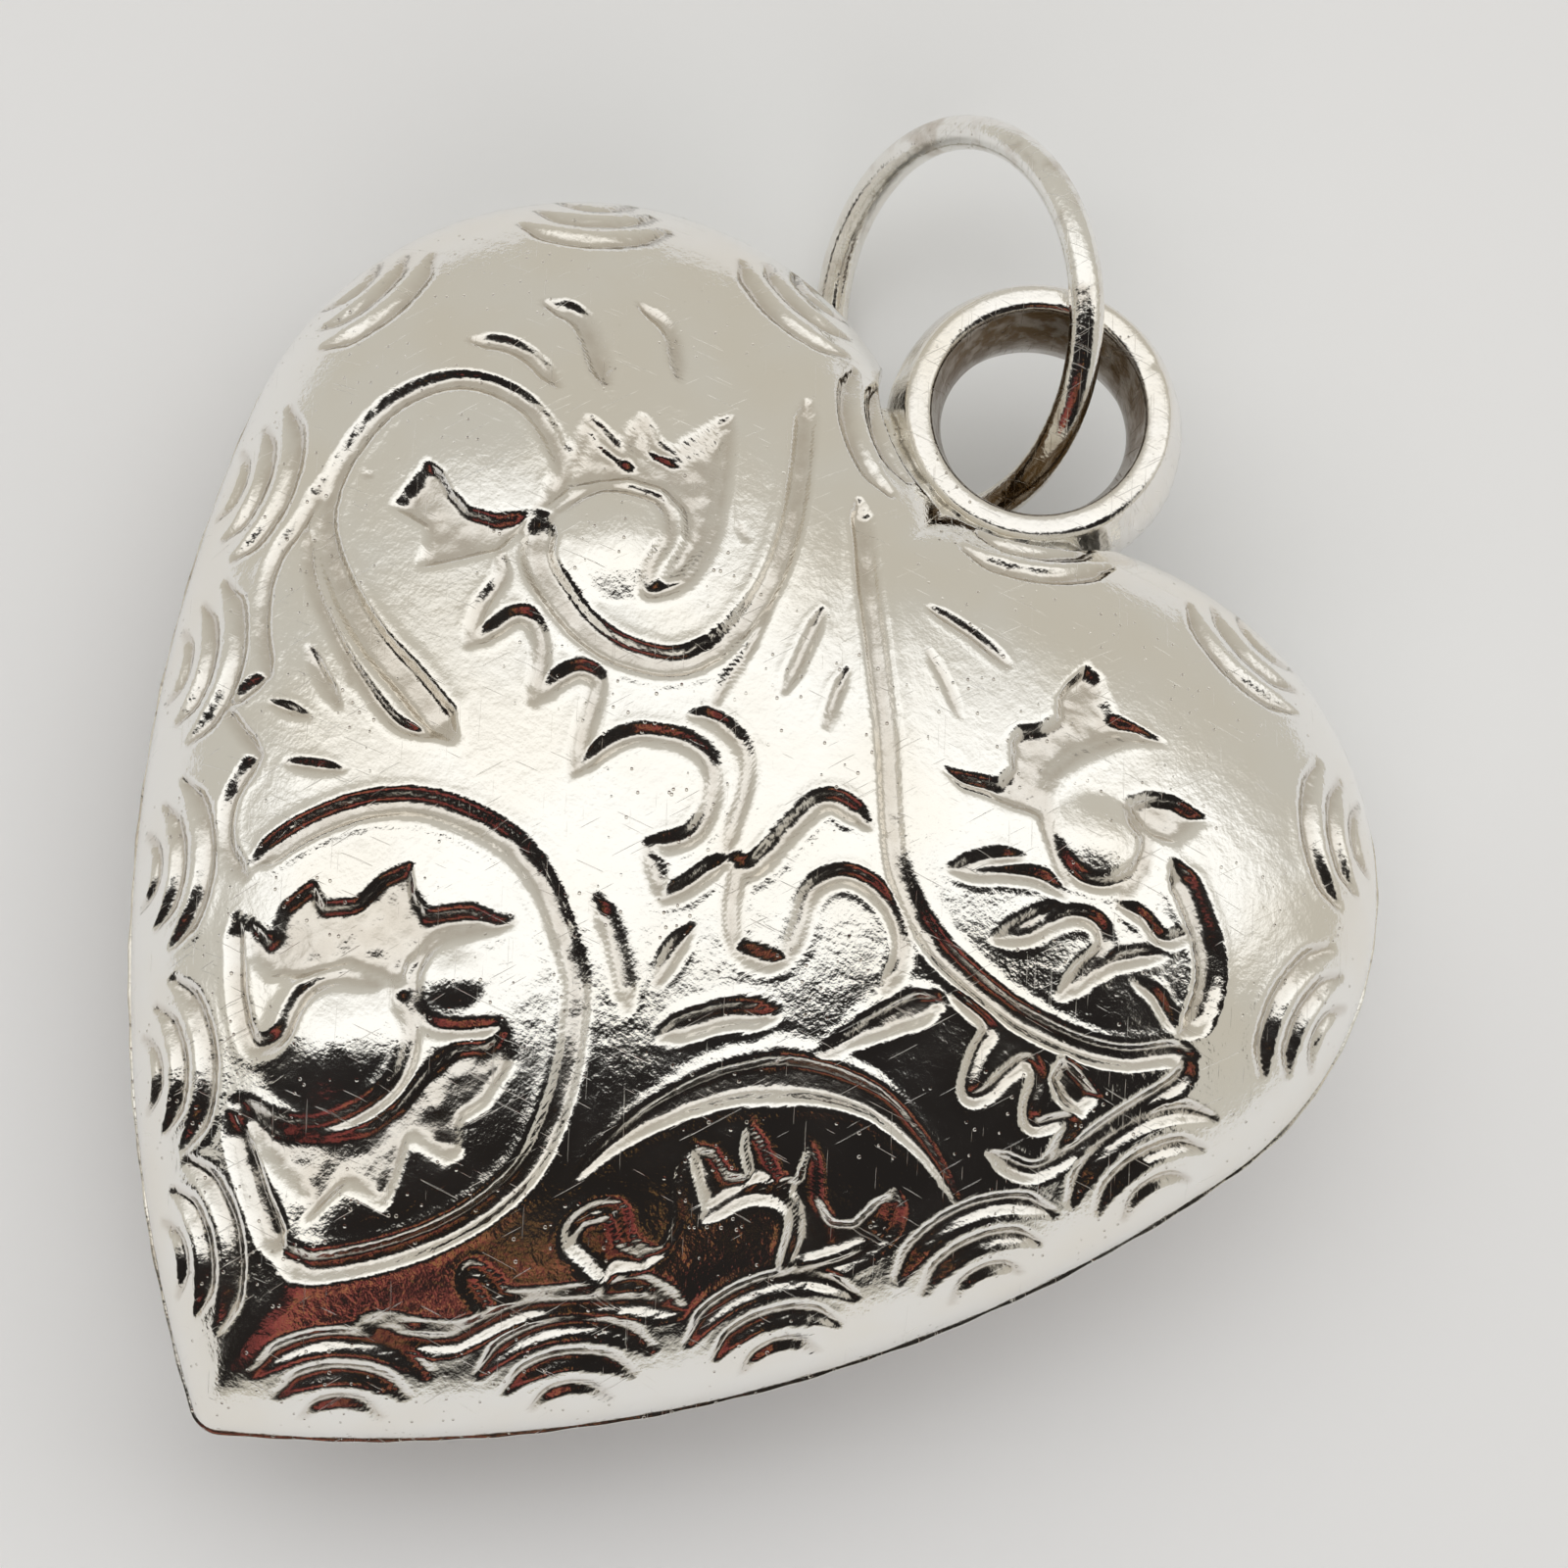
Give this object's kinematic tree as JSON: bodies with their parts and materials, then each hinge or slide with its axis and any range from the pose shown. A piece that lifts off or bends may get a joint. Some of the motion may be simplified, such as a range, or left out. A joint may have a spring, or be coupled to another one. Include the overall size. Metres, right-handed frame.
{
  "type": "puffed heart pendant",
  "caption": "Hollow puffed heart pendant with chased scrollwork, a cast bail ring in the cleft and a round wire jump ring linked through it.",
  "frame": {"origin": "middle of the object's footprint, on the surface that it lies on", "axes": "+Z out of the front shell, square to the seam; +Y from the heart's point towards the bail"},
  "size_m": [0.0364, 0.0436, 0.0132],
  "materials": {
    "silver_plate": "mirror-bright silver plate over stamped brass, with fine pits and hairline scratches",
    "cast_silver": "polished casting, a little rougher on the walls",
    "silver_solder": "plated solder, slightly grainy",
    "silver_wire": "drawn and plated wire with soft wear"
  },
  "bodies": {
    "heart": {"front_shell": "silver_plate", "back_shell": "silver_plate", "seam_solder": "silver_solder", "bail_ring": "cast_silver", "bail_solder": "silver_solder"},
    "ring": {"jump_ring": "silver_wire"}
  },
  "joints": [
    {"name": "ring_swing", "type": "hinge", "parent": "heart", "child": "ring", "pos_m": [-0.00252, 0.01725, 0.0057], "axis": [-0.5973, -0.7645, 0.2425], "range_deg": [-108, 2]}
  ]
}
